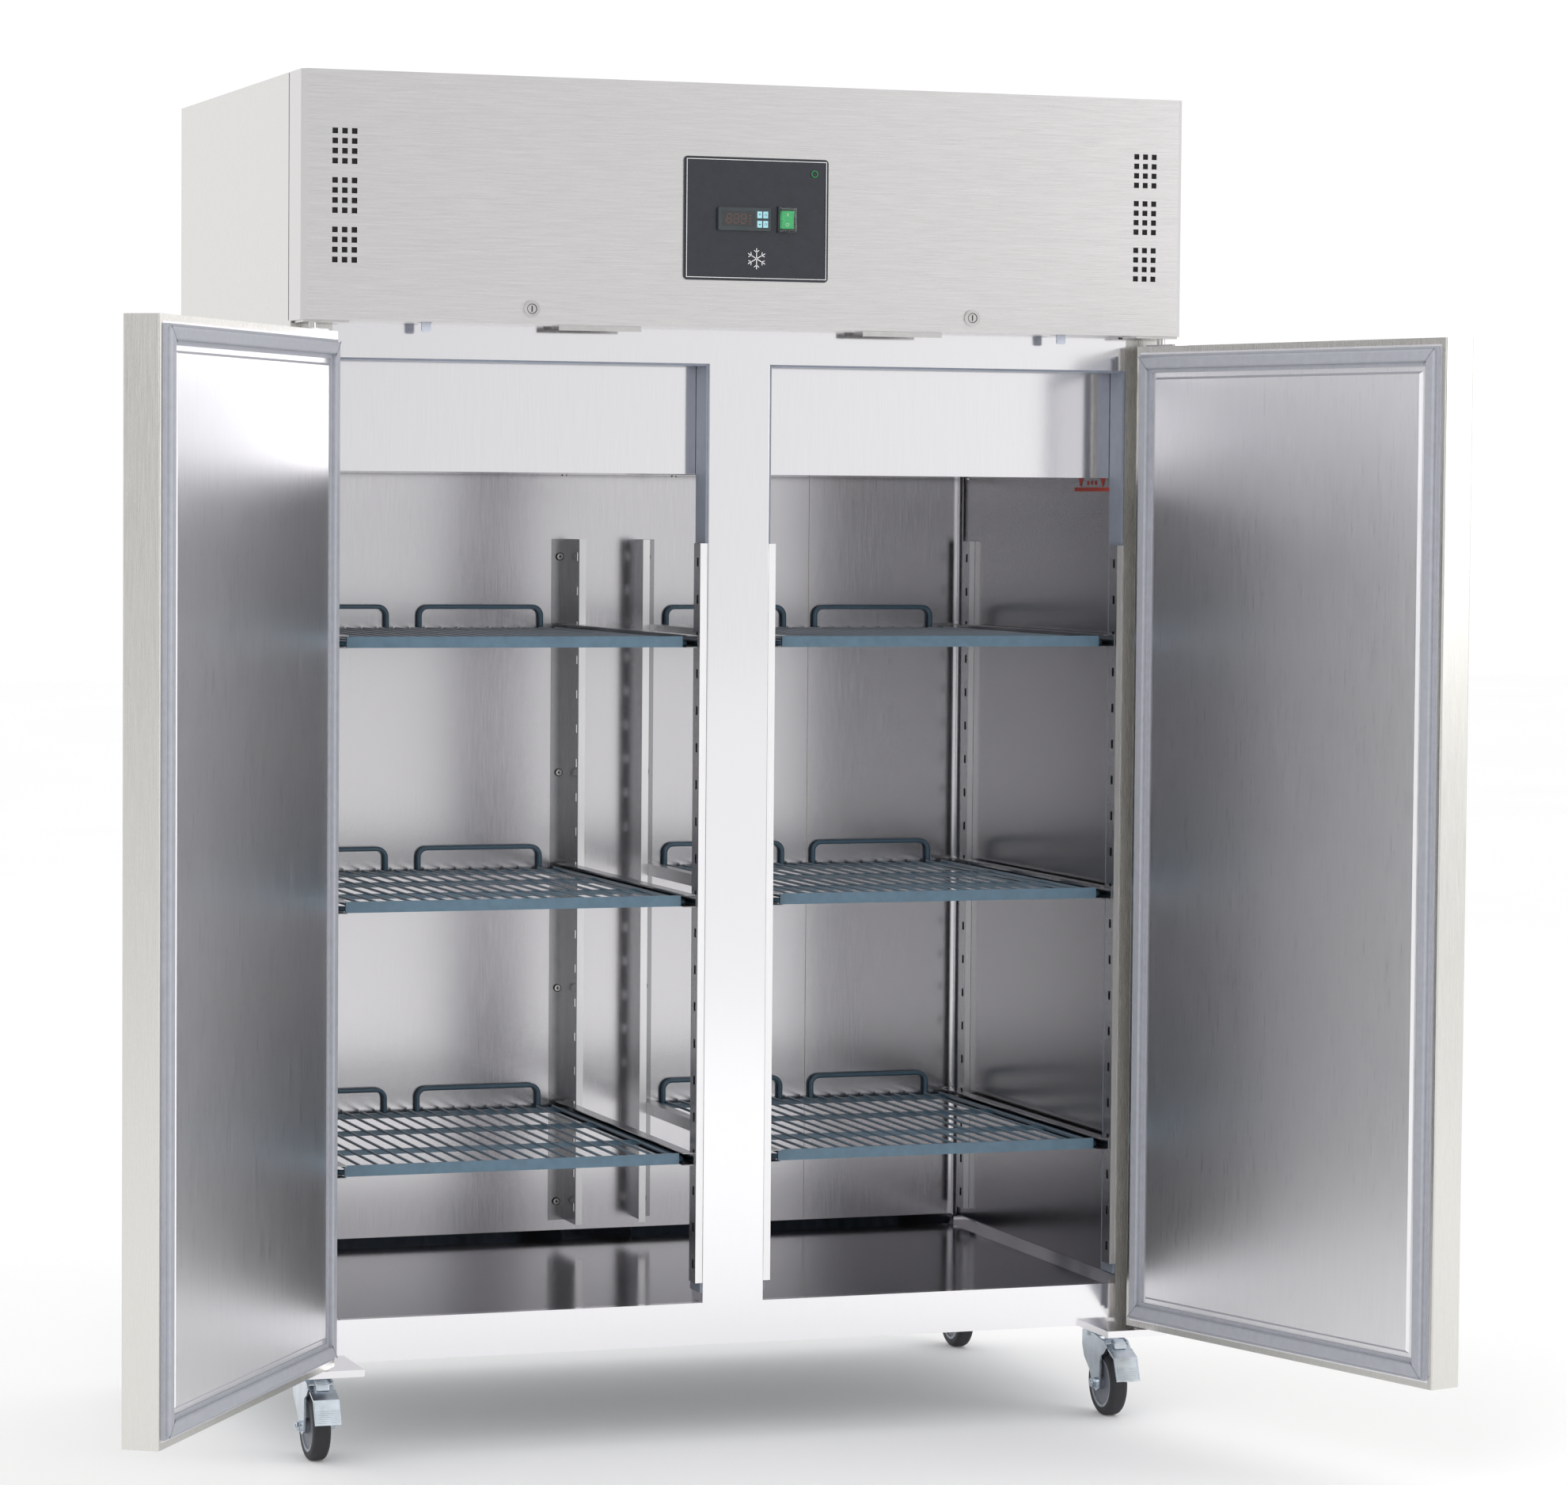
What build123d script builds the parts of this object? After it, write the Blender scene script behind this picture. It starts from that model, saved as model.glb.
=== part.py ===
"""Two-door upright storage refrigerator with a top-mounted cooling unit, on castors.

Units are millimetres. X runs across the cabinet, Y from front to back and Z up. The origin is on the
floor, under the middle of the front frame's face. The doors stand open, at rest_angle from closed.
"""

from build123d import *
from math import cos, radians, sin
import os

os.makedirs("parts", exist_ok=True)

# ---------------------------------------------------------------- driving dimensions
half_width = 670.0
top_z = 1982.0
back_y = 725.0
base_z = 146.0
deck_z = 1660.0
sheet = 1.0

inner_x = 609.0
inner_back = 674.0
ceiling_z = 1600.0
frame_depth = 50.0
rail_top_z = 208.0
rail_low_z = base_z
head_rail_z = 1582.0
mullion_half = 47.0
strip_thick = 3.0
floor_z = 207.0
cove_rise = 14.0
back_seam_x = 346.5

fascia_front = -67.0
fascia_back = 12.0
fascia_low = 1632.0
fascia_bevel = 8.0

upright_low = 237.0
upright_high = 1321.0
mid_web_x = 58.0
wall_web_x = 599.6
rear_upright_y = 611.0
upright_depth = 30.0
slot_pitch = 54.2
slot_count = 20
first_slot_z = 1293.5
slot_high = 13.0
slot_wide = 8.0
slot_inset = 12.0

bay_centre = (mid_web_x + wall_web_x) / 2
shelf_levels = {"top": 2, "middle": 9, "bottom": 16}
shelf_half = 265.0
shelf_front = 24.0
shelf_back = 662.0
shelf_rod = 8.0
shelf_wire = 4.0
wire_count = 20
bar_half = 252.0
bar_high = 16.0
stop_high = 32.0
stop_wide = 205.0
stop_gap = 46.0
stop_rod = 7.0
runner_front = 8.0
runner_back = 660.0
runner_wide = 18.0
runner_sheet = 1.2

hinge_x = 648.0
hinge_y = -42.0
rest_angle = {"left": 124.0, "right": 107.0}
door_low = 150.0
door_high = 1617.0
door_hinge_edge = -18.0
door_free_edge = 644.5
door_outer = -20.0
door_inner = 32.0
pin_radius = 6.0
gasket_wide = 27.0
gasket_high = 9.6
gasket_margin = 12.0
grip_low = 800.0
grip_high = 1080.0
grip_near = 580.0
grip_far = 632.0
grip_depth = 24.0

plate_half = 110.0
plate_low = 1700.0
plate_high = 1877.0
plate_thick = 2.0
lock_x = 335.5
lock_z = 1653.4
tongue_x = 484.7
key_places = {"1": (3.1, 1794.9), "2": (12.1, 1794.9), "3": (3.1, 1781.5), "4": (12.1, 1781.5)}
key_wide = 7.5
key_tall = 10.0
rocker_x = 46.0
rocker_z = 1789.0

castor_x = 618.0
castor_y = {"front": 77.0, "rear": 650.0}
castor_turn = {"front": -1.0, "rear": 1.0}
wheel_radius = 50.0
wheel_trail = 32.0
wheel_wide = 26.0
axle_z = 50.0
castor_top = 143.0
leg_inside = 17.0
leg_outside = 20.0
pedal_pivot = (62.0, 108.0)

seam_gap = 0.02
corner_radius = 14.0
lip_wide = 11.0
flange_wide = 27.0
front_upright_y = 1.5
gland_x = 560.0
gland_z = 1720.0
vent_x = 608.7
vent_top_z = 1896.5
vent_pitch = 14.0
vent_group_pitch = 69.0
vent_hole = 8.0
controller_x = (-59.4, 20.1)
controller_z = (1771.8, 1804.8)
display_x = (-54.6, -4.0)
display_z = (1778.0, 1799.3)
cover_y = 52.0
cover_low = 1422.0
compressor_place = (150.0, 420.0)
screw_heights = (1293.0, 951.0, 608.0, 267.0)

evap_fan = (0.0, 215.0, 1440.0)
cond_fan = (-330.0, 240.0, 1808.0)


# ---------------------------------------------------------------- helpers
def slab(x_span, y_span, z_span, mode=Mode.ADD):
    """A block between two limits along each axis, in the open part."""
    low = Vector(min(x_span), min(y_span), min(z_span))
    high = Vector(max(x_span), max(y_span), max(z_span))
    size = high - low
    with Locations((low + high) * 0.5):
        Box(size.X, size.Y, size.Z, mode=mode)


def rod_x(x_span, y, z, radius, mode=Mode.ADD):
    """A round bar along X."""
    with Locations(((x_span[0] + x_span[1]) / 2, y, z)):
        Cylinder(radius, abs(x_span[1] - x_span[0]), rotation=(0, 90, 0), mode=mode)


def rod_y(x, y_span, z, radius, mode=Mode.ADD):
    """A round bar along Y."""
    with Locations((x, (y_span[0] + y_span[1]) / 2, z)):
        Cylinder(radius, abs(y_span[1] - y_span[0]), rotation=(90, 0, 0), mode=mode)


def rod_z(x, y, z_span, radius, mode=Mode.ADD):
    """A round bar along Z."""
    with Locations((x, y, (z_span[0] + z_span[1]) / 2)):
        Cylinder(radius, abs(z_span[1] - z_span[0]), mode=mode)


def bent_bar(points, bend, radius, closed=False):
    """A round bar bent along straight runs with equal bends."""
    with BuildLine() as path:
        FilletPolyline(*points, radius=bend, close=closed)
    with BuildSketch(Plane(path.line @ 0, z_dir=path.line % 0)) as section:
        Circle(radius)
    sweep(sections=section.sketch, path=path.line)


def save(piece, name):
    """Label one sub-part and write it as its own STEP file."""
    piece.part.label = name
    export_step(piece.part, f"parts/{name}.step")


def both_sides(span, side):
    """The same span on the left (-1) or right (1) of the cabinet."""
    return (span[0] * side, span[1] * side)


def slot_z(index):
    """Height of the middle of one slot, counted from the top."""
    return first_slot_z - slot_pitch * index


# ---------------------------------------------------------------- cabinet shell
def make_side_panel(name, side):
    skin = both_sides((half_width - sheet, half_width), side)
    with BuildPart() as panel:
        slab(skin, (0, back_y), (base_z, fascia_low))
        slab(skin, (fascia_back, back_y), (fascia_low - 1, top_z))
        slab(both_sides((inner_x, half_width), side), (0, sheet), (base_z, fascia_low))
        slab(both_sides((half_width - 14, half_width), side), (fascia_back, back_y), (top_z - sheet, top_z))
    save(panel, name)


def make_back_panel():
    edge = half_width - sheet
    with BuildPart() as panel:
        slab((-edge, edge), (back_y - sheet, back_y), (base_z, top_z - sheet))
        with Locations((0, back_y, 1830)):
            with GridLocations(400, 1, 3, 1):
                for row in range(9):
                    with Locations((0, 0, 22 * (row - 4))):
                        Box(220, 4, 6, mode=Mode.SUBTRACT)
        rod_y(gland_x, (back_y - 5, back_y + 5), gland_z, 16, Mode.SUBTRACT)
    save(panel, "back_panel")


def make_base_pan():
    edge = half_width - sheet
    with BuildPart() as pan:
        slab((-edge, edge), (sheet, back_y - sheet), (base_z, base_z + sheet))
    save(pan, "base_pan")


def make_insulation():
    """Five foam blocks that fill the walls between the outer skins and the liner."""
    low = base_z + sheet
    wall = inner_x + sheet
    edge = half_width - sheet
    back = back_y - sheet
    middle = (-wall + seam_gap, wall - seam_gap)
    front_part = (sheet, inner_back + sheet - seam_gap)
    with BuildPart() as foam:
        slab((-edge, -wall), (sheet, back), (low, deck_z))
        slab((wall, edge), (sheet, back), (low, deck_z))
        slab(middle, (inner_back + sheet, back), (low, deck_z))
        slab(middle, front_part, (low, floor_z - sheet))
        slab(middle, front_part, (ceiling_z + sheet, deck_z))
    save(foam, "insulation")


def make_liner():
    """Two bent wall sheets that meet at a seam in the back wall, and the ceiling sheet."""
    low = floor_z - sheet
    high = ceiling_z - seam_gap
    with BuildPart() as liner:
        for side, seam in ((-1, back_seam_x - 0.4), (1, back_seam_x + 0.4)):
            outer_x = (inner_x + sheet) * side
            inside = [(inner_x * side, sheet), (inner_x * side, inner_back), (seam, inner_back)]
            outside = [(seam, inner_back + sheet), (outer_x, inner_back + sheet), (outer_x, sheet)]
            with BuildSketch(Plane.XY.offset(low)):
                with BuildLine():
                    inner_path = FilletPolyline(*inside, radius=corner_radius)
                    outer_path = FilletPolyline(*outside, radius=corner_radius + sheet)
                    Line(inner_path @ 1, outer_path @ 0)
                    Line(outer_path @ 1, inner_path @ 0)
                make_face()
            extrude(amount=high - low)
        slab((-inner_x - sheet, inner_x + sheet), (sheet, inner_back + sheet), (ceiling_z, ceiling_z + sheet))
    save(liner, "liner")


def make_floor_tray():
    """A flat floor whose side and back edges rise to the walls."""
    gap = 0.3
    run_out = 200
    width = 2 * inner_x - 4
    back_edge = inner_back - 2
    with BuildPart() as tray:
        across = (-inner_x + gap, inner_x - gap)
        slab(across, (sheet, inner_back - gap), (floor_z - sheet, floor_z + cove_rise))
        uprights = tray.part.edges().filter_by(Axis.Z).group_by(Axis.Y)[-1]
        fillet(uprights, corner_radius + 1)
        with BuildSketch(Plane.XY.offset(floor_z + cove_rise)):
            with Locations((0, (back_edge - run_out) / 2)):
                Rectangle(width, back_edge + run_out)
        extrude(amount=-cove_rise, taper=45, mode=Mode.SUBTRACT)
    save(tray, "floor_tray")


def make_front_rails():
    """The polished head rail and bottom rail, each with its turned edge."""
    across = (-inner_x, inner_x)
    with BuildPart() as rails:
        slab(across, (0, sheet), (head_rail_z, deck_z))
        slab(across, (0, frame_depth), (head_rail_z, ceiling_z))
        slab(across, (0, sheet), (rail_low_z, rail_top_z))
        slab((-inner_x + 17, inner_x - 17), (0, 14), (floor_z, rail_top_z))
    save(rails, "front_rails")


def make_mullion():
    with BuildPart() as post:
        slab((-mullion_half, mullion_half), (0, frame_depth), (rail_top_z, head_rail_z))
        front = post.part.edges().filter_by(Axis.Z).group_by(Axis.Y)[0]
        fillet(front, 1.5)
    save(post, "mullion")


def make_breaker_strips():
    """Plastic strips that line the two door openings."""
    low = floor_z + cove_rise + 1
    y_span = (3, frame_depth)
    z_span = (low, head_rail_z)
    with BuildPart() as strips:
        for side in (-1, 1):
            slab(both_sides((inner_x - strip_thick, inner_x), side), y_span, z_span)
            slab(both_sides((mullion_half, mullion_half + strip_thick), side), y_span, z_span)
            across = both_sides((mullion_half, inner_x), side)
            slab(across, y_span, (head_rail_z - strip_thick, head_rail_z))
    save(strips, "breaker_strips")


# ---------------------------------------------------------------- shelf supports
def cut_slots(web_x, y_front):
    """The column of hook slots in one upright's web."""
    middle_y = y_front + slot_inset
    for index in range(slot_count):
        with Locations((web_x, middle_y, slot_z(index))):
            Box(6, slot_wide, slot_high, mode=Mode.SUBTRACT)


def hat_upright(side, web_x, wall_x, lip_x, y_front):
    """A channel upright: front lip, slotted web and rear flange, standing on a wall."""
    toward = 1 if wall_x > web_x else -1
    z_span = (upright_low, upright_high)
    y_back = y_front + upright_depth
    with BuildPart() as upright:
        slab(both_sides((web_x, web_x + toward * sheet), side), (y_front, y_back), z_span)
        slab(both_sides((web_x, lip_x), side), (y_front, y_front + sheet), z_span)
        slab(both_sides((web_x, wall_x), side), (y_back - sheet, y_back), z_span)
        cut_slots(web_x * side, y_front)
    return upright.part


def free_rear_upright(side):
    """A Z-section post screwed to the back wall, its front lip turned to the other post."""
    z_span = (upright_low, upright_high)
    y_lip = (rear_upright_y, rear_upright_y + sheet)
    web = (mid_web_x - sheet, mid_web_x)
    with BuildPart() as upright:
        slab(both_sides(web, side), (rear_upright_y, inner_back), z_span)
        slab(both_sides((mid_web_x - lip_wide, mid_web_x), side), y_lip, z_span)
        flange = (mid_web_x - sheet, mid_web_x + flange_wide)
        slab(both_sides(flange, side), (inner_back - sheet, inner_back), z_span)
        cut_slots(mid_web_x * side, rear_upright_y)
    return upright.part


def make_uprights():
    pieces = []
    for side in (-1, 1):
        mid_wall = mullion_half + strip_thick
        pieces.append(hat_upright(side, mid_web_x, mid_wall, mullion_half + 0.3, front_upright_y))
        pieces.append(hat_upright(side, wall_web_x, inner_x - strip_thick, inner_x - 0.3, front_upright_y))
        pieces.append(hat_upright(side, wall_web_x, inner_x, inner_x - 0.3, rear_upright_y))
        pieces.append(free_rear_upright(side))
    with BuildPart() as uprights:
        for piece in pieces:
            add(piece)
    save(uprights, "uprights")


def make_runners():
    """Channels that hook into the uprights and carry the shelves' side rods."""
    with BuildPart() as runners:
        for side in (-1, 1):
            for level in shelf_levels.values():
                for web_x, inward in ((mid_web_x, 1), (wall_web_x, -1)):
                    runner(side, slot_z(level), web_x, inward)
    save(runners, "runners")


def runner(side, top, web_x, inward):
    """One channel, open towards the shelf, with a hook at each end."""
    outer = web_x + inward * 0.1
    back = outer + inward * runner_sheet
    tip = outer + inward * runner_wide
    y_span = (runner_front, runner_back)
    slab(both_sides((outer, back), side), y_span, (top - 16.2, top + 2.2))
    slab(both_sides((outer, tip), side), y_span, (top - 16.2, top - 15.0))
    slab(both_sides((outer, tip), side), y_span, (top + 1.0, top + 2.2))
    for y_front in (front_upright_y, rear_upright_y):
        middle = y_front + slot_inset
        slab(both_sides((outer - inward * 5, back), side), (middle - 3, middle + 3), (top - 5, top + 2.2))


# ---------------------------------------------------------------- shelves
def shelf_loop(centre, z):
    """The rod that runs round the shelf's edge."""
    half = shelf_half - shelf_rod / 2
    front = shelf_front + 4 + shelf_rod / 2
    back = shelf_back - shelf_rod / 2
    corners = [(centre - half, front, z), (centre + half, front, z)]
    corners += [(centre + half, back, z), (centre - half, back, z)]
    bent_bar(corners, 14, shelf_rod / 2, closed=True)


def back_stop(centre, hand, top):
    """A raised bent rod behind the shelf's rear edge."""
    near = centre + hand * (stop_gap / 2 + stop_rod / 2)
    far = centre + hand * (stop_gap / 2 + stop_wide - stop_rod / 2)
    y = shelf_back + stop_rod / 2 + 0.05
    low = top - 14
    high = top + stop_high - stop_rod / 2
    bent_bar([(near, y, low), (near, y, high), (far, y, high), (far, y, low)], 14, stop_rod / 2)


def make_shelf(name, side, level):
    top = slot_z(level)
    centre = bay_centre * side
    with BuildPart() as shelf:
        shelf_loop(centre, top - 10.6)
        slab((centre - bar_half, centre + bar_half), (shelf_front, shelf_front + 4.2), (top - bar_high, top))
        for y_low in (237, 450, shelf_back - 11):
            strip = (centre - shelf_half + 6, centre + shelf_half - 6)
            slab(strip, (y_low, y_low + 3.2), (top - 14.4, top - 6.5))
        for index in range(wire_count):
            offset_x = (index / (wire_count - 1) - 0.5) * 2 * (bar_half - 5)
            rod_y(centre + offset_x, (shelf_front + 2, shelf_back - 1), top - 5, shelf_wire / 2)
        for hand in (-1, 1):
            back_stop(centre, hand, top)
    save(shelf, name)


# ---------------------------------------------------------------- doors
def door_plane(hand):
    """A door's own frame: x from the hinge to the free edge, z up, origin on the hinge axis."""
    side = 1 if hand == "right" else -1
    angle = radians(rest_angle[hand])
    toward_free = (-side * cos(angle), -sin(angle), 0)
    return Plane((hinge_x * side, hinge_y, 0), x_dir=toward_free, z_dir=(0, 0, 1))


def door_slab(hand, u_span, v_span, z_span, mode=Mode.ADD):
    """A block in a door's frame; v grows from the outer face towards the cabinet."""
    inward = -1 if hand == "right" else 1
    slab(u_span, (v_span[0] * inward, v_span[1] * inward), z_span, mode)


def door_outline(inset):
    """The door's width and height limits, drawn in by the same amount all round."""
    across = (door_hinge_edge + inset, door_free_edge - inset)
    return across, (door_low + inset, door_high - inset)


def grip_block(hand, grow, mode):
    """The block of space that the recessed grip and its lining take."""
    across = (grip_near - grow, grip_far + grow)
    deep = (door_outer - (1 if grow == 0 else 0), door_outer + grip_depth + grow)
    door_slab(hand, across, deep, (grip_low - grow, grip_high + grow), mode)


def make_door_shell(hand):
    """The outer skin: a pan with turned edges, hinge holes and a recessed grip."""
    u_out, z_out = door_outline(0)
    u_in, z_in = door_outline(sheet)
    u_lip, z_lip = door_outline(9)
    with BuildPart(door_plane(hand)) as shell:
        door_slab(hand, u_out, (door_outer, door_inner), z_out)
        fillet(shell.part.edges().filter_by(Axis.Z), 2.5)
        door_slab(hand, u_in, (door_outer + sheet, door_inner - sheet), z_in, Mode.SUBTRACT)
        door_slab(hand, u_lip, (door_inner - 2, door_inner + 1), z_lip, Mode.SUBTRACT)
        grip_block(hand, sheet, Mode.ADD)
        grip_block(hand, 0, Mode.SUBTRACT)
        for z in (door_low, door_high):
            rod_z(0, 0, (z - 5, z + 5), pin_radius + 1, Mode.SUBTRACT)
    save(shell, f"door_{hand}_shell")


def make_door_inner(hand):
    """The foam core that fills the shell, and the inner sheet with its raised middle."""
    u_in, z_in = door_outline(sheet + seam_gap)
    u_lip, z_lip = door_outline(9 + seam_gap)
    u_mid, z_mid = door_outline(gasket_margin + gasket_wide + 7)
    hole_deep = 18
    with BuildPart(door_plane(hand)) as inner:
        door_slab(hand, u_in, (door_outer + sheet + seam_gap, door_inner - sheet - seam_gap), z_in)
        fillet(inner.part.edges().filter_by(Axis.Z), 2)
        grip_block(hand, sheet + seam_gap, Mode.SUBTRACT)
        rod_z(0, 0, (door_low, door_low + hole_deep), pin_radius + 1, Mode.SUBTRACT)
        rod_z(0, 0, (door_high - hole_deep, door_high), pin_radius + 1, Mode.SUBTRACT)
        door_slab(hand, u_lip, (door_inner - sheet, door_inner), z_lip)
        door_slab(hand, u_mid, (door_inner - sheet, door_inner + 4), z_mid)
        top_depth = door_inner + 4
        raised = inner.part.edges().filter_by(lambda e: abs(door_depth(hand, e.center()) - top_depth) < 0.01)
        chamfer(raised, 3.5)
    save(inner, f"door_{hand}_inner_panel")


def door_depth(hand, point):
    """How far a point lies from the hinge axis towards the cabinet, in a door's frame."""
    inward = -1 if hand == "right" else 1
    return door_plane(hand).to_local_coords(point).Y * inward


def make_door_gasket(hand):
    """The magnetic seal: a flat base ring with a raised bulb."""
    u_out, z_out = door_outline(gasket_margin)
    u_in, z_in = door_outline(gasket_margin + gasket_wide)
    u_bulb_out, z_bulb_out = door_outline(gasket_margin + 4)
    u_bulb_in, z_bulb_in = door_outline(gasket_margin + gasket_wide - 6)
    base = (door_inner, door_inner + 4)
    bulb = (door_inner, door_inner + gasket_high)
    with BuildPart(door_plane(hand)) as gasket:
        door_slab(hand, u_out, base, z_out)
        door_slab(hand, u_bulb_out, bulb, z_bulb_out)
        past = (door_inner - 1, door_inner + gasket_high + 1)
        door_slab(hand, u_bulb_in, past, z_bulb_in, Mode.SUBTRACT)
        crown = gasket.part.edges().filter_by(
            lambda e: abs(door_depth(hand, e.center()) - door_inner - gasket_high) < 0.01
        )
        fillet(crown, 3)
    with BuildPart(door_plane(hand)) as inner_lip:
        door_slab(hand, u_bulb_in, (door_inner, door_inner + 3), z_bulb_in)
        door_slab(hand, u_in, (door_inner - 1, door_inner + 4), z_in, Mode.SUBTRACT)
    with BuildPart() as seal:
        add(gasket.part)
        add(inner_lip.part)
    save(seal, f"door_{hand}_gasket")


def make_door_fittings(hand):
    """The pivot plates above and below the door."""
    with BuildPart(door_plane(hand)) as plates:
        for z_span in ((door_high, door_high + 3), (door_low - 3.2, door_low)):
            door_slab(hand, (-14, 52), (-14, 20), z_span)
        corners = plates.part.edges().filter_by(Axis.Z)
        fillet(corners, 4)
        for z in (door_low, door_high):
            rod_z(0, 0, (z - 6, z + 6), pin_radius + 0.3, Mode.SUBTRACT)
    save(plates, f"door_{hand}_pivot_plates")


# ---------------------------------------------------------------- fascia and controls
def fascia_outline(inset):
    """Plan outline of the fascia cover, with its bevelled upright corners."""
    edge = half_width - inset
    front = fascia_front + inset
    bevel = fascia_bevel - inset * 0.4
    points = [(-edge, fascia_back), (-edge, front + bevel), (-edge + bevel, front)]
    return points + [(edge - bevel, front), (edge, front + bevel), (edge, fascia_back)]


def fascia_solid(inset, z_span, mode):
    """A block with the fascia's plan outline, drawn in by an inset."""
    with BuildSketch(Plane.XY.offset(z_span[0])) as profile:
        with BuildLine():
            Polyline(*fascia_outline(inset), close=True)
        make_face()
    extrude(profile.sketch, amount=z_span[1] - z_span[0], mode=mode)


def make_fascia():
    """The sheet cover in front of the machine space, open at the back."""
    with BuildPart() as cover:
        fascia_solid(0, (fascia_low, top_z), Mode.ADD)
        fascia_solid(sheet, (fascia_low + sheet, top_z - sheet), Mode.SUBTRACT)
        edge = half_width - sheet
        slab((-edge, edge), (-0.5, fascia_back + 1), (fascia_low + sheet, top_z - sheet), Mode.SUBTRACT)
        slab((-edge, edge), (-0.5, fascia_back + 1), (fascia_low - 1, fascia_low + 2), Mode.SUBTRACT)
        for side in (-1, 1):
            for group in range(3):
                vent_z = vent_top_z - vent_pitch * 1.5 - vent_group_pitch * group
                with Locations((vent_x * side, fascia_front, vent_z)):
                    with GridLocations(vent_pitch, 1, 3, 1):
                        for row in range(4):
                            with Locations((0, 0, vent_pitch * (row - 1.5))):
                                Box(vent_hole, 6, vent_hole, mode=Mode.SUBTRACT)
            rod_y(lock_x * side, (fascia_front - 1, fascia_front + 3), lock_z, 9.3, Mode.SUBTRACT)
            tongue_slot = both_sides((tongue_x - 9, tongue_x + 9), side)
            slab(tongue_slot, (-55, -25), (fascia_low - 1, fascia_low + 2), Mode.SUBTRACT)
        cut_control_holes(fascia_front)
    save(cover, "fascia")


def cut_control_holes(y):
    """The two openings behind the control plate."""
    span = (y - 5, y + 5)
    case_x = (controller_x[0] + 3.8, controller_x[1] - 3.8)
    slab(case_x, span, (controller_z[0] + 2, controller_z[1] - 2), Mode.SUBTRACT)
    slab((rocker_x - 12, rocker_x + 12), span, (rocker_z - 17, rocker_z + 17), Mode.SUBTRACT)


def make_control_plate():
    """The black front plate, and the switch housing that clips into it."""
    front = fascia_front - plate_thick
    with BuildPart() as plate:
        slab((-plate_half, plate_half), (front, fascia_front), (plate_low, plate_high))
        fillet(plate.part.edges().filter_by(Axis.Y), 6)
        cut_control_holes(front)
        z_span = (rocker_z - 19, rocker_z + 19)
        slab((rocker_x - 14, rocker_x + 14), (front - 3, front - seam_gap), z_span)
        slab((rocker_x - 11.7, rocker_x + 11.7), (front - 3, -50), (rocker_z - 16.7, rocker_z + 16.7))
        well_z = (rocker_z - 14.5, rocker_z + 14.5)
        slab((rocker_x - 10.5, rocker_x + 10.5), (front - 4, -52), well_z, Mode.SUBTRACT)
    save(plate, "control_plate")


def make_controller():
    """The temperature controller's case, with key pockets, and its display window."""
    front = fascia_front - plate_thick
    face = front - 6
    with BuildPart() as case:
        slab(controller_x, (face, front), controller_z)
        fillet(case.part.edges().filter_by(Axis.Y), 2.5)
        body_x = (controller_x[0] + 4.4, controller_x[1] - 4.4)
        slab(body_x, (front - 1, -12), (controller_z[0] + 2.6, controller_z[1] - 2.6))
        slab(display_x, (face - 1, face + 1.2), display_z, Mode.SUBTRACT)
        for x, z in key_places.values():
            with Locations((x, face, z)):
                Box(key_wide + 0.7, 8, key_tall + 0.7, mode=Mode.SUBTRACT)
        window_x = (display_x[0] + 0.1, display_x[1] - 0.1)
        slab(window_x, (face + 0.1, face + 1.15), (display_z[0] + 0.1, display_z[1] - 0.1))
    save(case, "controller")


def make_key(name, x, z):
    face = fascia_front - plate_thick - 6
    with BuildPart() as key:
        wide = (x - key_wide / 2, x + key_wide / 2)
        slab(wide, (face - 0.8, face + 2.6), (z - key_tall / 2, z + key_tall / 2))
        front = key.part.faces().sort_by(Axis.Y)[0]
        fillet(front.edges(), 0.7)
    save(key, name)


def make_rocker():
    """The power switch's rocker, resting with its lower end pressed in."""
    half = 12.6
    with BuildPart() as rocker:
        with BuildSketch(Plane((rocker_x - 10, 0, 0), x_dir=(0, 1, 0), z_dir=(1, 0, 0))):
            with BuildLine():
                Polyline(
                    (-60, rocker_z - half),
                    (-72.5, rocker_z - half),
                    (-71.5, rocker_z),
                    (-75.5, rocker_z + half),
                    (-60, rocker_z + half),
                    close=True,
                )
            make_face()
        extrude(amount=20)
    save(rocker, "switch_rocker")


def make_lock(name, side):
    """A key cylinder with its slot and its cam."""
    x = lock_x * side
    with BuildPart() as lock:
        rod_y(x, (fascia_front - 2.4, -39), lock_z, 7)
        with Locations((x, fascia_front - 2.4, lock_z)):
            Box(1.6, 6, 8, mode=Mode.SUBTRACT)
        slab((x - 6, x + 17.5), (-41.5, -39), (lock_z - 6, lock_z + 6))
    save(lock, name)


def make_header_hardware():
    """What is fixed in the fascia's lower edge: lock housings, pivots, strikes and switch bodies."""
    with BuildPart() as hardware:
        for side in (-1, 1):
            x = lock_x * side
            rod_y(x, (fascia_front - 3, fascia_front), lock_z, 12)
            rod_y(x, (fascia_front - 1, -42), lock_z, 9)
            rod_y(x, (fascia_front - 4, -41), lock_z, 7.3, Mode.SUBTRACT)
            slab(both_sides((600, 666), side), (-60, -8), (fascia_low - 3, fascia_low))
            rod_z(hinge_x * side, hinge_y, (door_high - 11, fascia_low - 2), pin_radius)
            strike = both_sides((169, 292), side)
            slab(strike, (-58, -22), (fascia_low - 1.4, fascia_low))
            slab(strike, (-58, -56.6), (fascia_low - 8, fascia_low))
            slab(strike, (-23.4, -22), (fascia_low - 5, fascia_low))
            tongue = both_sides((tongue_x - 8.5, tongue_x + 8.5), side)
            slab(tongue, (-54.5, -25.5), (fascia_low + 0.5, fascia_low + 22))
            hollow = both_sides((tongue_x - 7.4, tongue_x + 7.4), side)
            slab(hollow, (-53, -34), (fascia_low - 1, fascia_low + 18), Mode.SUBTRACT)
    save(hardware, "header_hardware")


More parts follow.
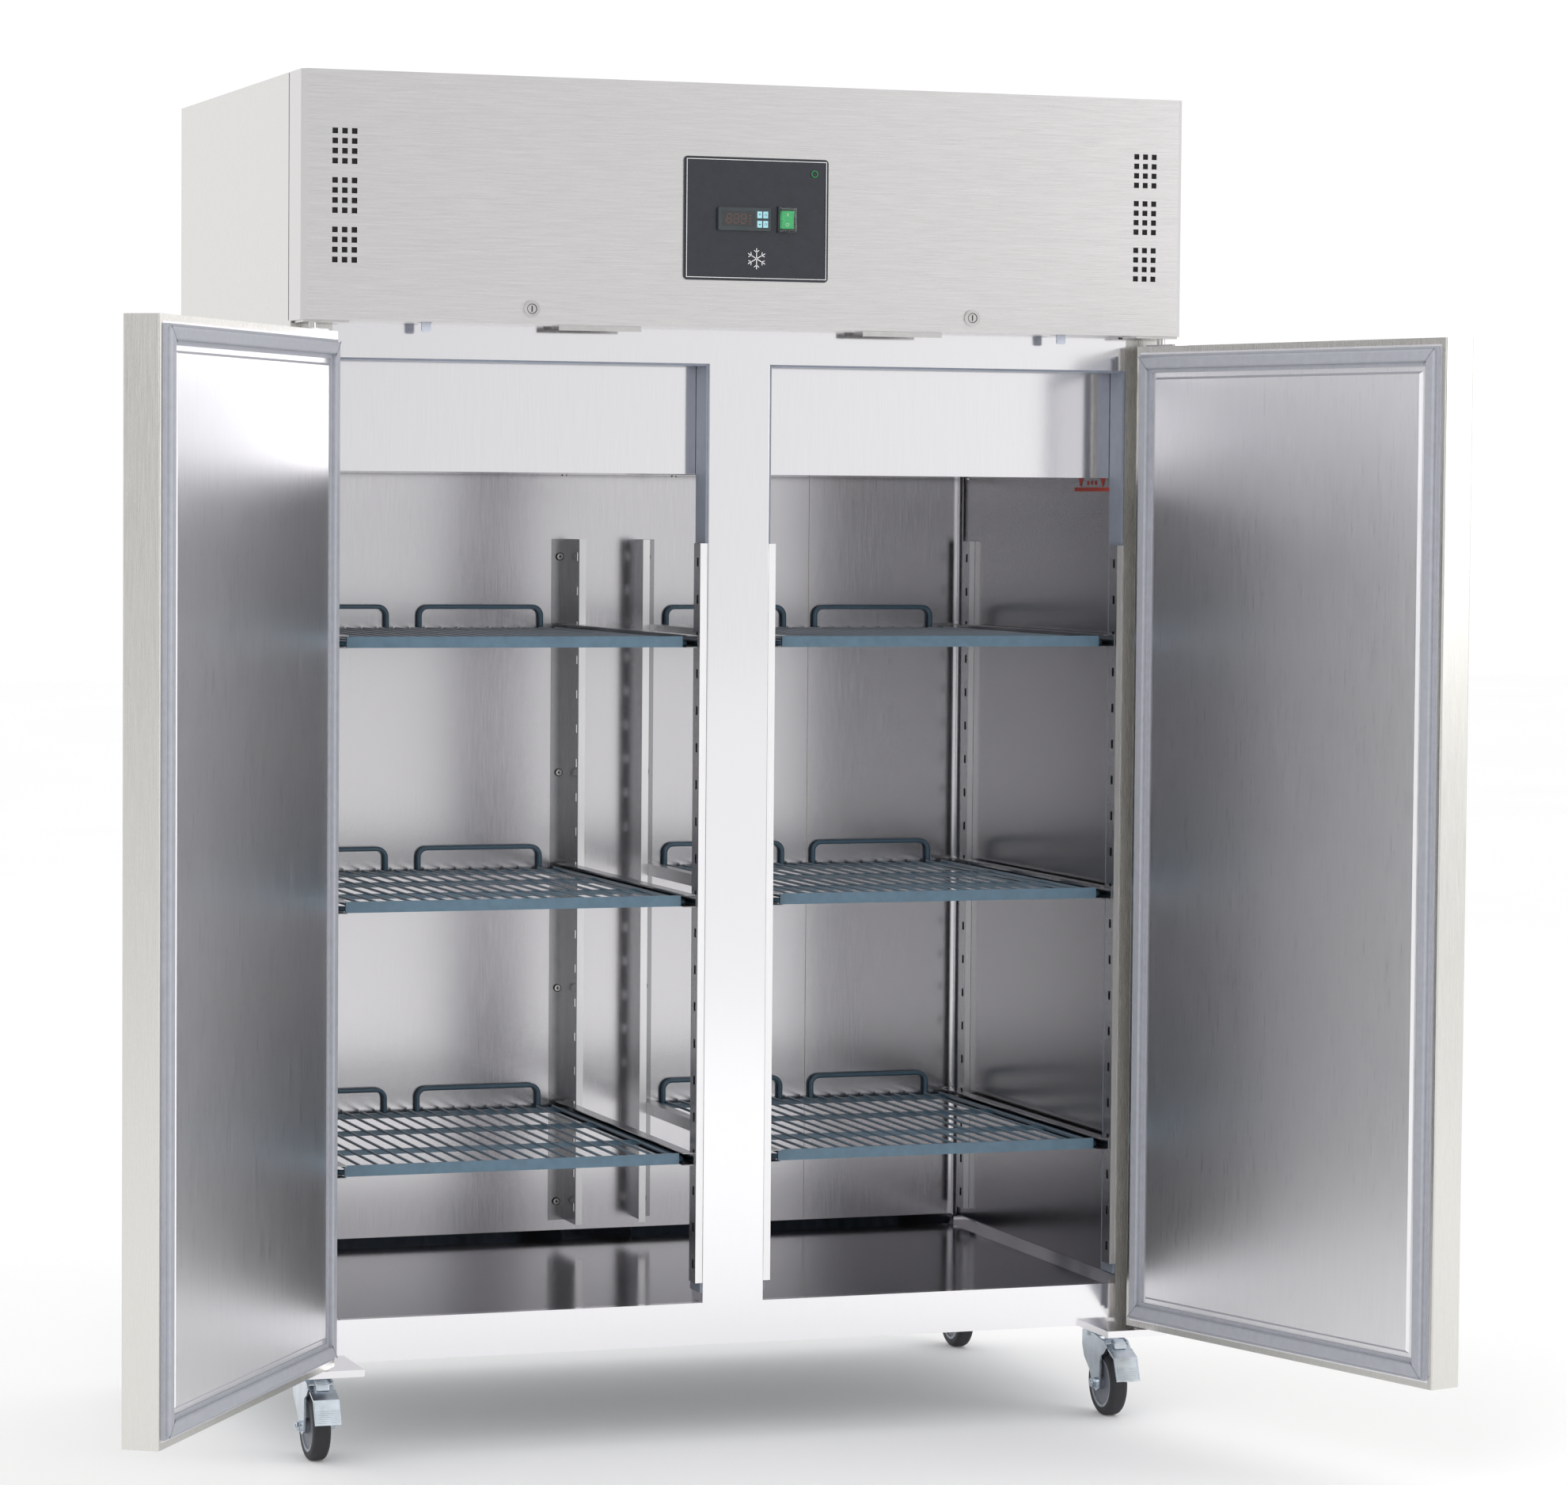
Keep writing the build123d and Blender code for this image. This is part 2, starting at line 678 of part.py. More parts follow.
def make_tongue(name, side):
    """A door-switch tongue that hangs below the fascia and swings back as the door shuts."""
    with BuildPart() as tongue:
        across = both_sides((tongue_x - 6.7, tongue_x + 6.7), side)
        slab(across, (-49, -44.5), (door_high + 1.5, fascia_low + 10))
        fillet(tongue.part.edges().filter_by(Axis.Y).group_by(Axis.Z)[0], 3)
        rod_x(across, -46.75, fascia_low + 10, 3)
    save(tongue, name)


# ---------------------------------------------------------------- cooling unit
def make_evaporator_cover():
    """The sheet in front of and under the evaporator, with the fan's opening."""
    edge = inner_x - 1
    with BuildPart() as cover:
        slab((-edge, edge), (cover_y, cover_y + sheet), (cover_low, ceiling_z - 1))
        slab((-edge, edge), (cover_y, 610), (cover_low, cover_low + sheet))
        slab((-edge, edge), (609, 610), (cover_low, cover_low + 25))
        rod_z(evap_fan[0], evap_fan[1], (cover_low - 2, cover_low + 4), 104, Mode.SUBTRACT)
    save(cover, "evaporator_cover")


def make_evaporator():
    """The finned coil with its tube bends, and the fan motor on its bracket."""
    with BuildPart() as coil:
        slab((-300, 300), (360, 560), (1446, 1560))
        for row in range(3):
            for column in range(4):
                rod_x((-312, 312), 390 + 46 * column, 1470 + 33 * row, 5)
        for x in (-306, 303):
            slab((x, x + 3), (352, 568), (1438, ceiling_z - 0.5))
        fan_x, fan_y, fan_z = evap_fan
        rod_z(fan_x, fan_y, (fan_z + 22, fan_z + 84), 38)
        slab((fan_x - 130, fan_x + 130), (fan_y - 15, fan_y + 15), (fan_z + 84, fan_z + 87))
        for end in (-130, 127):
            slab((fan_x + end, fan_x + end + 3), (fan_y - 15, fan_y + 15), (fan_z + 84, ceiling_z - 0.5))
    save(coil, "evaporator")


def make_fan(name, centre, axis, radius, blades, depth):
    """A hub and pitched blades about an axis; built along Z and set on the axis's plane."""
    plane = Plane(centre, z_dir=axis)
    with BuildPart(plane) as fan:
        Cylinder(radius * 0.24, depth)
        for turn in range(blades):
            with Locations(Rotation(0, 0, 360 * turn / blades)):
                with Locations(Location((radius * 0.58, 0, 0), (32, 0, 0))):
                    Box(radius * 0.8, radius * 0.52, 2)
        Cylinder(radius, depth, mode=Mode.INTERSECT)
    save(fan, name)


def make_machine_deck():
    """The deck under the cooling unit, the electrical box on it and the box's cable gland."""
    edge = half_width - sheet
    with BuildPart() as deck:
        slab((-edge, edge), (sheet, back_y - sheet), (deck_z, deck_z + sheet))
        low = deck_z + sheet + seam_gap
        slab((430, 640), (90, 290), (low, low + 130))
        rod_y(gland_x, (290, 306), gland_z, 10)
        rod_y(gland_x, (294, 307), gland_z, 4.2, Mode.SUBTRACT)
    save(deck, "machine_deck")


def make_compressor():
    x, y = compressor_place
    foot_low = deck_z + sheet
    with BuildPart() as body:
        with Locations((x, y, 1760)):
            Cylinder(86, 176)
        fillet(body.part.edges().filter_by(GeomType.CIRCLE), 38)
        slab((x - 105, x + 105), (y - 80, y + 80), (foot_low + 10, foot_low + 13))
        for dx in (-90, 90):
            for dy in (-65, 65):
                rod_z(x + dx, y + dy, (foot_low, foot_low + 11), 11)
        slab((x + 60, x + 112), (y - 30, y + 30), (1740, 1800))
    save(body, "compressor")


def make_condenser():
    """The finned coil with its end plates, and the fan shroud with the motor on two arms."""
    fan_x, fan_y, fan_z = cond_fan
    left, right = (fan_x - 170, fan_x + 170)
    low = deck_z + sheet
    with BuildPart() as coil:
        slab((left, right), (120, 180), (low + 9, 1950))
        for column in range(2):
            for row in range(7):
                rod_x((left - 12, right + 12), 136 + 28 * column, low + 30 + 38 * row, 5)
        for x in (left - 6, right + 3):
            slab((x, x + 3), (114, 186), (low, 1956))
        slab((left, right), (200, 202), (low, 1956))
        rod_y(fan_x, (195, 205), fan_z, 132, Mode.SUBTRACT)
        rod_y(fan_x, (266, 316), fan_z, 36)
        for hand in (-1, 1):
            outer_z = both_sides((138, 144), hand)
            slab((fan_x - 8, fan_x + 8), (201, 296), (fan_z + outer_z[0], fan_z + outer_z[1]))
            arm_z = both_sides((30, 144), hand)
            slab((fan_x - 8, fan_x + 8), (290, 296), (fan_z + arm_z[0], fan_z + arm_z[1]))
    save(coil, "condenser")


def make_pipes():
    """Copper pipes between the compressor, the condenser and the deck."""
    x, y = compressor_place
    right = cond_fan[0] + 182
    routes = [
        [(x - 86.2, y, 1770), (x - 150, y, 1770), (x - 150, y, 1900), (-100, 150, 1900), (right, 150, 1900)],
        [(right, 150, 1700), (-60, 150, 1700), (-60, 560, 1700), (-60, 560, deck_z + sheet)],
        [(x, y + 86.2, 1800), (x, 560, 1800), (x, 560, deck_z + sheet)],
    ]
    with BuildPart() as pipes:
        for route in routes:
            bent_bar(route, 20, 4)
    save(pipes, "pipes")


# ---------------------------------------------------------------- base and castors
def make_bottom_brackets():
    """The front corner brackets with their pivots, and the rear packing plates."""
    low = base_z - 3
    with BuildPart() as brackets:
        for side in (-1, 1):
            across = both_sides((572, 668), side)
            slab(across, (-62, 130), (low, base_z))
            slab(across, (-62, -60), (low - 7, base_z))
            slab(both_sides((572, 574), side), (-62, 130), (low - 7, base_z))
            rod_z(hinge_x * side, hinge_y, (base_z - 1, door_low + 12), pin_radius)
            slab(both_sides((574, 662), side), (600, 700), (low, base_z))
    save(brackets, "bottom_brackets")


def castor_places():
    return [
        (f"{end}_{hand}", (-castor_x if hand == "left" else castor_x), castor_y[end], castor_turn[end])
        for end in ("front", "rear")
        for hand in ("left", "right")
    ]


def make_castor_plates():
    with BuildPart() as plates:
        for _, x, y, _ in castor_places():
            slab((x - 40, x + 40), (y - 44, y + 44), (castor_top - 5, castor_top))
            rod_z(x, y, (castor_top - 15, castor_top - 4), 25)
    save(plates, "castor_plates")


def leg_outline(place, braked):
    """Side view of a fork leg, as (y, z) points; braked legs reach forward to the pedal."""
    y, turn = place
    crown = castor_top - 20
    front = [(24, crown), (42, 96), (46, 60)]
    if braked:
        front = [(24, crown), (62, 117), (71, 108), (62, 99), (47, 92), (46, 60)]
    points = [(-23, crown)] + front + [(44, 43), (32, 37), (20, 43), (6, 66), (-16, 84), (-23, 100)]
    return [(y + turn * forward, z) for forward, z in points]


def make_fork(name, x, y, turn, braked):
    """A castor's swivelling fork with its axle."""
    crown = castor_top - 20
    axle_y = y + turn * wheel_trail
    pivot_y = y + turn * pedal_pivot[0]
    with BuildPart() as fork:
        for inner, outer in ((-leg_outside, -leg_inside), (leg_inside, leg_outside)):
            with BuildSketch(Plane((x + inner, 0, 0), x_dir=(0, 1, 0), z_dir=(1, 0, 0))):
                with BuildLine():
                    Polyline(*leg_outline((y, turn), braked), close=True)
                make_face()
            extrude(amount=outer - inner)
        if braked:
            rod_x((x - 25, x + 25), pivot_y, pedal_pivot[1], 3.3, Mode.SUBTRACT)
        slab((x - leg_outside, x + leg_outside), (y - 23, y + 23), (crown - 5, crown))
        rod_z(x, y, (crown - 5, castor_top - 15.4), 23)
        rod_x((x - 24, x + 24), axle_y, axle_z, 5)
        for hand in (-1, 1):
            rod_x((x + hand * leg_outside, x + hand * (leg_outside + 4)), axle_y, axle_z, 8)
    save(fork, name)


def make_wheel(name, x, y, turn):
    """A castor wheel: grey hub and dark tread."""
    axle_y = y + turn * wheel_trail
    hub_radius = 38
    with BuildPart() as wheel:
        rod_x((x - wheel_wide / 2, x + wheel_wide / 2), axle_y, axle_z, wheel_radius)
        fillet(wheel.part.edges().filter_by(GeomType.CIRCLE), 7)
        rod_x((x - 20, x + 20), axle_y, axle_z, hub_radius, Mode.SUBTRACT)
        rod_x((x - 10, x + 10), axle_y, axle_z, hub_radius - seam_gap)
        rod_x((x - 15.5, x + 15.5), axle_y, axle_z, 11)
        for hand in (-1, 1):
            ring = (x + hand * 9, x + hand * 12)
            rod_x(ring, axle_y, axle_z, hub_radius - seam_gap)
            rod_x((x + hand * 10, x + hand * 13), axle_y, axle_z, hub_radius - 4, Mode.SUBTRACT)
            rod_x((x + hand * 8, x + hand * 15.5), axle_y, axle_z, 11)
        rod_x((x - 20, x + 20), axle_y, axle_z, 5.3, Mode.SUBTRACT)
    save(wheel, name)


def make_pedal(name, x, y, turn):
    """A brake pedal that turns on pins in the fork's forward arms."""
    pivot_f, pivot_z = pedal_pivot
    arm = [(60, 111), (66, 112.5), (82, 106), (80.5, 103.2), (64, 109)]
    tread = [(77, 108), (99, 98), (113, 64), (110, 62.8), (96.5, 95.5), (76, 105.2)]
    with BuildPart() as pedal:
        for outline, half in ((arm, 16.4), (tread, 19)):
            points = [(y + turn * forward, z) for forward, z in outline]
            with BuildSketch(Plane((x - half, 0, 0), x_dir=(0, 1, 0), z_dir=(1, 0, 0))):
                with BuildLine():
                    Polyline(*points, close=True)
                make_face()
            extrude(amount=2 * half)
        rod_x((x - 16.4, x + 16.4), y + turn * pivot_f, pivot_z, 5)
        rod_x((x - leg_outside, x + leg_outside), y + turn * pivot_f, pivot_z, 3)
    save(pedal, name)


def make_screws():
    """The screw and bolt heads that hold the rear posts, the evaporator cover and the castors."""
    with BuildPart() as screws:
        for side in (-1, 1):
            for z in screw_heights:
                rod_y(72 * side, (inner_back - sheet - 3, inner_back - sheet), z, 5)
            for x in (90, 588):
                rod_z(x * side, 590, (cover_low - 2, cover_low), 4.5)
        for _, x, y, _ in castor_places():
            for dx in (-32, 32):
                for dy in (-36, 36):
                    with BuildSketch(Plane((x + dx, y + dy, castor_top - 9))):
                        RegularPolygon(6.5, 6)
                    extrude(amount=4)
    save(screws, "screws")


# ---------------------------------------------------------------- build everything
make_side_panel("side_panel_left", -1)
make_side_panel("side_panel_right", 1)
make_back_panel()
make_base_pan()
make_insulation()
make_liner()
make_floor_tray()
make_front_rails()
make_mullion()
make_breaker_strips()
make_uprights()
make_runners()
for level_name, level_slot in shelf_levels.items():
    make_shelf(f"shelf_left_{level_name}", -1, level_slot)
    make_shelf(f"shelf_right_{level_name}", 1, level_slot)
for door_hand in ("left", "right"):
    make_door_shell(door_hand)
    make_door_inner(door_hand)
    make_door_gasket(door_hand)
    make_door_fittings(door_hand)
make_fascia()
make_control_plate()
make_controller()
for key_number, key_place in key_places.items():
    make_key(f"controller_key_{key_number}", *key_place)
make_rocker()
make_lock("lock_cylinder_left", -1)
make_lock("lock_cylinder_right", 1)
make_header_hardware()
make_tongue("door_switch_tongue_left", -1)
make_tongue("door_switch_tongue_right", 1)
make_evaporator_cover()
make_evaporator()
make_fan("evaporator_fan", evap_fan, (0, 0, 1), 98, 5, 26)
make_machine_deck()
make_compressor()
make_condenser()
make_fan("condenser_fan", cond_fan, (0, 1, 0), 124, 5, 34)
make_pipes()
make_bottom_brackets()
make_castor_plates()
for castor_name, castor_at_x, castor_at_y, castor_facing in castor_places():
    is_braked = castor_name.startswith("front")
    make_fork(f"castor_fork_{castor_name}", castor_at_x, castor_at_y, castor_facing, is_braked)
    make_wheel(f"castor_wheel_{castor_name}", castor_at_x, castor_at_y, castor_facing)
    if is_braked:
        make_pedal(f"brake_pedal_{castor_name[6:]}", castor_at_x, castor_at_y, castor_facing)
make_screws()
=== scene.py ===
"""Looks for the two-door upright refrigerator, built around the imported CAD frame."""
import math

import bmesh
import bpy
from mathutils import Matrix, Vector


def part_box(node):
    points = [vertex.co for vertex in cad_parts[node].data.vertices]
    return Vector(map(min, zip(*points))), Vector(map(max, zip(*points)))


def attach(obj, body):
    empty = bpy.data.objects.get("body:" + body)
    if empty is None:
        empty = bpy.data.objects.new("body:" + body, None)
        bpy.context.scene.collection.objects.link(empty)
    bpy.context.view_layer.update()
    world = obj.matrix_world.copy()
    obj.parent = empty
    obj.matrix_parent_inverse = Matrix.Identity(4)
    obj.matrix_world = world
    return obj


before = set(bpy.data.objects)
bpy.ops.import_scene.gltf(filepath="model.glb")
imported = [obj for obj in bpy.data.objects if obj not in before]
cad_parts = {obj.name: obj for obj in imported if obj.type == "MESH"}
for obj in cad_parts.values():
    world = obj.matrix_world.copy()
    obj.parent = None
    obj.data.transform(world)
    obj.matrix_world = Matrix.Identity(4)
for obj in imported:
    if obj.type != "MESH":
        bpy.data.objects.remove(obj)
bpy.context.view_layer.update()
scene = bpy.context.scene
MM = 0.001
HANDS = (("left", -1), ("right", 1))
NOISE_LOW, NOISE_HIGH = 0.3, 0.7

# Places that the frame's boxes don't give, in metres, and the doors' angles in degrees.
HINGE_X, HINGE_Y = 0.648, -0.042
OPEN_ANGLES = {"left": 124.0, "right": 107.0}
DOOR_LOW, DOOR_HIGH = 0.150, 1.617
DOOR_NEAR, DOOR_FAR = -0.018, 0.6445
LOCK_X, LOCK_Z = 0.3355, 1.6534
CASTOR_X = 0.618
SWIVEL_YS = {"front": 0.077, "rear": 0.650}
AXLE_TRAIL, AXLE_Z = 0.032, 0.050
POST_SCREW_X = 0.072
POST_SCREW_ZS = (1.293, 0.951, 0.608, 0.267)
LINER_WALL_X = 0.6085
WINDOW_Y = -0.0749
WINDOW_X, WINDOW_Z = (-0.0546, -0.004), (1.778, 1.7993)
HUB_RADIUS = 0.0385
POST_SPACING = 0.6095


# ---------------------------------------------------------------- materials
def new_material(name):
    material = bpy.data.materials.new(name)
    material.use_nodes = True
    tree = material.node_tree
    return material, tree.nodes, tree.links, tree.nodes["Principled BSDF"]


def noise_at(nodes, links, stretch, scale, detail=3.0):
    """A noise texture in the row's own coordinates, stretched along an axis."""
    place = nodes.new("ShaderNodeTexCoord")
    mapping = nodes.new("ShaderNodeMapping")
    mapping.inputs["Scale"].default_value = stretch
    links.new(place.outputs["Object"], mapping.inputs["Vector"])
    noise = nodes.new("ShaderNodeTexNoise")
    noise.inputs["Scale"].default_value = scale
    noise.inputs["Detail"].default_value = detail
    links.new(mapping.outputs["Vector"], noise.inputs["Vector"])
    return noise.outputs["Fac"]


def ramp(nodes, links, source, low, high):
    """Maps a noise onto two colours."""
    node = nodes.new("ShaderNodeValToRGB")
    node.color_ramp.elements[0].position = NOISE_LOW
    node.color_ramp.elements[1].position = NOISE_HIGH
    node.color_ramp.elements[0].color = (*low, 1)
    node.color_ramp.elements[1].color = (*high, 1)
    links.new(source, node.inputs["Fac"])
    return node.outputs["Color"]


def spread(nodes, links, source, low, high):
    """Maps a noise onto the range between two numbers."""
    node = nodes.new("ShaderNodeMapRange")
    node.inputs["From Min"].default_value = NOISE_LOW
    node.inputs["From Max"].default_value = NOISE_HIGH
    node.inputs["To Min"].default_value = low
    node.inputs["To Max"].default_value = high
    links.new(source, node.inputs["Value"])
    return node.outputs["Result"]


def bump(nodes, links, source, strength, distance, shader):
    node = nodes.new("ShaderNodeBump")
    node.inputs["Strength"].default_value = strength
    node.inputs["Distance"].default_value = distance
    links.new(source, node.inputs["Height"])
    links.new(node.outputs["Normal"], shader.inputs["Normal"])


def sheet_metal(name, colour, rough, grain, depth=0.08, change=0.05):
    """Metal sheet with a fine grain along one axis and slow changes of tone."""
    material, nodes, links, shader = new_material(name)
    stretch = {"x": (2, 240, 240), "y": (240, 2, 240), "z": (240, 240, 2)}[grain]
    fine = noise_at(nodes, links, stretch, 9.0, 4.0)
    low = [c * (1 - change) for c in colour]
    high = [min(1.0, c * (1 + change)) for c in colour]
    links.new(ramp(nodes, links, fine, low, high), shader.inputs["Base Color"])
    links.new(spread(nodes, links, fine, rough * 0.82, rough * 1.18), shader.inputs["Roughness"])
    bump(nodes, links, fine, depth, 0.0004, shader)
    shader.inputs["Metallic"].default_value = 1.0
    return material


def solid(name, colour, rough, change=0.08, scale=60.0, depth=0.05, metal=0.0, coat=0.0):
    """Plastic, paint, rubber or plated metal with slight changes of tone."""
    material, nodes, links, shader = new_material(name)
    fine = noise_at(nodes, links, (1, 1, 1), scale, 3.0)
    low = [c * (1 - change) for c in colour]
    high = [min(1.0, c * (1 + change)) for c in colour]
    links.new(ramp(nodes, links, fine, low, high), shader.inputs["Base Color"])
    links.new(spread(nodes, links, fine, rough * 0.9, min(1.0, rough * 1.1)), shader.inputs["Roughness"])
    bump(nodes, links, fine, depth, 0.0005, shader)
    shader.inputs["Metallic"].default_value = metal
    shader.inputs["Coat Weight"].default_value = coat
    return material


def lit(name, colour, strength):
    """A plastic that gives a little light of its own."""
    material, nodes, links, shader = new_material(name)
    fine = noise_at(nodes, links, (1, 1, 1), 220.0, 2.0)
    low = [c * 0.7 for c in colour]
    tone = ramp(nodes, links, fine, low, colour)
    links.new(tone, shader.inputs["Base Color"])
    links.new(tone, shader.inputs["Emission Color"])
    shader.inputs["Emission Strength"].default_value = strength
    shader.inputs["Roughness"].default_value = 0.25
    return material


STEEL = (0.655, 0.645, 0.64)
LOOKS = {
    "brushed_x": sheet_metal("steel_brushed_across", STEEL, 0.30, "x", 0.10, 0.06),
    "brushed_z": sheet_metal("steel_brushed_up", (0.66, 0.65, 0.63), 0.27, "z", 0.08, 0.05),
    "door_skin": sheet_metal("steel_door_skin", (0.66, 0.65, 0.62), 0.26, "z", 0.08, 0.05),
    "polished": sheet_metal("steel_polished", (0.86, 0.85, 0.87), 0.09, "z", 0.02, 0.02),
    "liner": sheet_metal("steel_liner", (0.63, 0.62, 0.64), 0.20, "z", 0.05, 0.05),
    # Darker copy of the liner steel for the liner's side walls: painted shade.
    "liner_shaded_side": sheet_metal("steel_liner_shaded_sides", (0.33, 0.325, 0.335), 0.20, "z", 0.05, 0.05),
    "floor": sheet_metal("steel_floor", (0.38, 0.37, 0.39), 0.13, "y", 0.03, 0.04),
    # Door liner steel made paler than the door skin: painted light for the bright reflections the inner
    # panels show.
    "lit_inner_door": sheet_metal("steel_lit_door_liner", (0.92, 0.915, 0.93), 0.33, "z", 0.04, 0.04),
    # Darker copy of the steel for the rear posts and runners: painted shade.
    "shaded_support": sheet_metal("steel_shaded_supports", (0.34, 0.34, 0.35), 0.22, "z", 0.06, 0.05),
    # Paler copy of the steel for the posts' front lips: painted highlight.
    "lit_lip": sheet_metal("steel_lit_lips", (0.90, 0.895, 0.905), 0.34, "z", 0.05, 0.04),
    "galvanised": solid("sheet_galvanised", (0.52, 0.54, 0.56), 0.42, 0.16, 28.0, 0.03, 1.0),
    "foam": solid("foam", (0.80, 0.72, 0.50), 0.9, 0.12, 120.0, 0.4),
    "breaker": solid("breaker_plastic", (0.24, 0.27, 0.33), 0.36),
    "gasket": solid("gasket_vinyl", (0.40, 0.41, 0.455), 0.48, 0.05, 90.0),
    "gasket_line": solid("gasket_groove", (0.20, 0.21, 0.25), 0.6, 0.1, 90.0),
    "coating": solid("shelf_coating", (0.085, 0.155, 0.215), 0.33, 0.10, 70.0, 0.05, 0.0, 0.25),
    "zinc": solid("zinc_plate", (0.66, 0.72, 0.78), 0.24, 0.10, 50.0, 0.05, 1.0),
    "tread": solid("wheel_tread", (0.022, 0.022, 0.027), 0.62, 0.15, 140.0, 0.15),
    "hub": solid("wheel_hub", (0.17, 0.18, 0.21), 0.45),
    "hub_ring": solid("wheel_hub_ring", (0.38, 0.40, 0.45), 0.45),
    # Black rubber for the brake blocks; the same colour is painted shade in the key slots, the screw
    # recesses and the shadow lines round the lock cylinders and fascia ends.
    "rubber_and_shade": solid("black_rubber_and_shade", (0.012, 0.012, 0.014), 0.6, 0.15),
    # Near-black sheet behind the vents: painted shade for the dark inside of the header.
    "shade_sheet": solid("vent_shade_sheet", (0.006, 0.006, 0.007), 0.9, 0.3, 400.0, 0.3),
    "panel": solid("panel_black", (0.012, 0.014, 0.022), 0.28, 0.15, 60.0, 0.02, 0.0, 0.3),
    "case": solid("case_dark", (0.035, 0.045, 0.050), 0.42),
    "window": solid("display_window", (0.018, 0.020, 0.022), 0.12, 0.10, 60.0, 0.01, 0.0, 0.6),
    "key": solid("key_rubber", (0.36, 0.68, 0.75), 0.5, 0.05),
    "key_mark": solid("key_mark", (0.05, 0.12, 0.15), 0.6, 0.05),
    "rocker": lit("rocker_green", (0.01, 0.36, 0.10), 0.55),
    "digits": lit("digits_dim", (0.16, 0.07, 0.055), 0.25),
    "white": solid("white_print", (0.80, 0.80, 0.80), 0.5, 0.04),
    "green": solid("green_print", (0.02, 0.30, 0.07), 0.5, 0.06),
    "red": solid("red_print", (0.46, 0.05, 0.03), 0.5, 0.08),
    "switch": solid("switch_white", (0.62, 0.66, 0.76), 0.4, 0.04),
    "fitting": solid("nickel_fitting", (0.60, 0.59, 0.58), 0.19, 0.05, 60.0, 0.02, 1.0),
    "black": solid("compressor_enamel", (0.012, 0.012, 0.013), 0.34, 0.2, 40.0, 0.06, 0.0, 0.3),
    "fins": sheet_metal("aluminium_fins", (0.70, 0.71, 0.72), 0.36, "z", 0.1, 0.08),
    "fan": solid("fan_plastic", (0.035, 0.035, 0.038), 0.45, 0.12),
    "copper": solid("copper_tube", (0.72, 0.36, 0.22), 0.26, 0.12, 40.0, 0.03, 1.0),
}


def clear_look():
    material, nodes, links, shader = new_material("clear_cover")
    fine = noise_at(nodes, links, (1, 1, 1), 90.0, 2.0)
    links.new(ramp(nodes, links, fine, (0.93, 0.98, 0.95), (1, 1, 1)), shader.inputs["Base Color"])
    shader.inputs["Transmission Weight"].default_value = 1.0
    shader.inputs["Roughness"].default_value = 0.05
    shader.inputs["IOR"].default_value = 1.42
    return material


LOOKS["clear"] = clear_look()

NODE_LOOKS = {
    "side_panel_left": "brushed_z", "side_panel_right": "brushed_z", "back_panel": "galvanised",
    "base_pan": "galvanised", "insulation": "foam", "liner": "liner", "floor_tray": "floor",
    "front_rails": "polished", "mullion": "polished", "breaker_strips": "breaker",
    "uprights": "shaded_support", "runners": "shaded_support", "fascia": "brushed_x", "control_plate": "panel",
    "controller": "case", "header_hardware": "fitting", "evaporator_cover": "polished",
    "evaporator": "fins", "machine_deck": "galvanised", "compressor": "black",
    "condenser": "fins", "pipes": "copper", "bottom_brackets": "polished",
    "castor_plates": "zinc", "screws": "fitting", "switch_rocker": "rocker",
    "evaporator_fan": "fan", "condenser_fan": "fan",
}
PREFIX_LOOKS = (
    ("shelf_", "coating"), ("castor_fork", "zinc"), ("brake_pedal", "zinc"), ("lock_", "fitting"),
    ("controller_key", "key"), ("door_switch", "switch"), ("castor_wheel", "tread"),
)
DOOR_LOOKS = {
    "shell": "door_skin", "inner_panel": "lit_inner_door", "gasket": "gasket", "pivot_plates": "fitting",
}


def look_of(node):
    if node in NODE_LOOKS:
        return NODE_LOOKS[node]
    for prefix, look in PREFIX_LOOKS:
        if node.startswith(prefix):
            return look
    return DOOR_LOOKS[node.split("_", 2)[2]]


def dress_nodes():
    for node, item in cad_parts.items():
        item.data.materials.clear()
        item.data.materials.append(LOOKS[look_of(node)])


def second_look(node, look, inside):
    """Gives the faces whose centre passes the test a second material."""
    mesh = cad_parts[node].data
    mesh.materials.append(LOOKS[look])
    for face in mesh.polygons:
        if inside(face.center):
            face.material_index = 1


def dress_controller():
    """The dark window in the controller's face."""
    def in_window(c):
        level = WINDOW_X[0] < c.x < WINDOW_X[1] and WINDOW_Z[0] < c.z < WINDOW_Z[1]
        return abs(c.y - WINDOW_Y) < 0.3 * MM and level

    second_look("controller", "window", in_window)


def dress_wheel(node):
    """A dark tread, a grey hub and a paler ring on each face of the hub."""
    low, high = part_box(node)
    middle, axle_y, axle_z = (low + high) / 2
    second_look(node, "hub", lambda c: math.hypot(c.y - axle_y, c.z - axle_z) < HUB_RADIUS)
    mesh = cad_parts[node].data
    mesh.materials.append(LOOKS["hub_ring"])
    for face in mesh.polygons:
        reach = math.hypot(face.center.y - axle_y, face.center.z - axle_z)
        if 0.0335 < reach < HUB_RADIUS and abs(face.center.x - middle) > 0.0105:
            face.material_index = 2


def dress_uprights():
    """Bright front lips on the dull slotted posts: the lips' paler steel is a painted highlight and the
    posts' darker steel is painted shade.
    """
    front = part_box("uprights")[0].y
    rear = front + POST_SPACING
    second_look("uprights", "lit_lip", lambda c: min(abs(c.y - front), abs(c.y - rear)) < 0.4 * MM)


# ---------------------------------------------------------------- mesh helpers
def piece(name, bm, look, body, bevel=0.0):
    mesh = bpy.data.meshes.new(name)
    bmesh.ops.recalc_face_normals(bm, faces=bm.faces)
    bm.to_mesh(mesh)
    bm.free()
    item = bpy.data.objects.new(name, mesh)
    scene.collection.objects.link(item)
    mesh.materials.append(LOOKS[look])
    if bevel:
        rounded = item.modifiers.new("edges", "BEVEL")
        rounded.width = bevel
        rounded.segments = 2
        rounded.limit_method = "ANGLE"
    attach(item, body)
    return item


